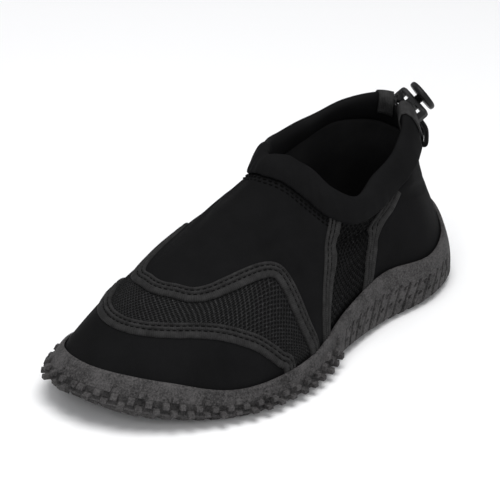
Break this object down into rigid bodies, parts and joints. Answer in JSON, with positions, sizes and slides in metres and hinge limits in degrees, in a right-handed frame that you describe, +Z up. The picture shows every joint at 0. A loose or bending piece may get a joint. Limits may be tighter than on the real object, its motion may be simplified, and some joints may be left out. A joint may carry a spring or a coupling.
{
  "type": "water shoe",
  "caption": "low slip-on water shoe for the left foot: hollow neoprene and mesh upper, folded collar, lugged rubber cup sole, and an elastic cord with a push-button cord lock at the heel",
  "frame": {"origin": "middle of the bounding box in plan, on the floor under the sole's lugs", "axes": "+X along the shoe towards the toe, +Y towards the outer side of the foot, +Z up"},
  "size_m": [0.2502, 0.1044, 0.0923],
  "materials": {
    "neoprene": "matt black knit-faced neoprene, with open mesh panels",
    "rubber": "matt charcoal moulded rubber, faintly speckled",
    "woven_tape": "ribbed black binding tape",
    "foam": "black fabric-faced foam",
    "hard_plastic": "satin black moulded plastic",
    "elastic": "braided black elastic cord"
  },
  "bodies": {
    "shoe": {"outsole": "rubber", "insole": "foam", "upper": "neoprene", "collar": "neoprene", "toe_tape": "woven_tape", "vamp_tape": "woven_tape", "gusset_front_tape_outer": "woven_tape", "gusset_front_tape_inner": "woven_tape", "gusset_rear_tape_outer": "woven_tape", "gusset_rear_tape_inner": "woven_tape", "cord_guide_outer": "woven_tape", "cord_guide_inner": "woven_tape", "drawcord": "elastic", "cord_lock_body": "hard_plastic"},
    "plunger": {"cord_lock_button": "hard_plastic"}
  },
  "joints": [
    {"name": "plunger_press", "type": "slide", "parent": "shoe", "child": "plunger", "axis": [0.6804, -0.4115, -0.6064], "range_m": [0, 0.0016], "stiffness_N_per_m": 900, "springref_m": -0.0008}
  ]
}
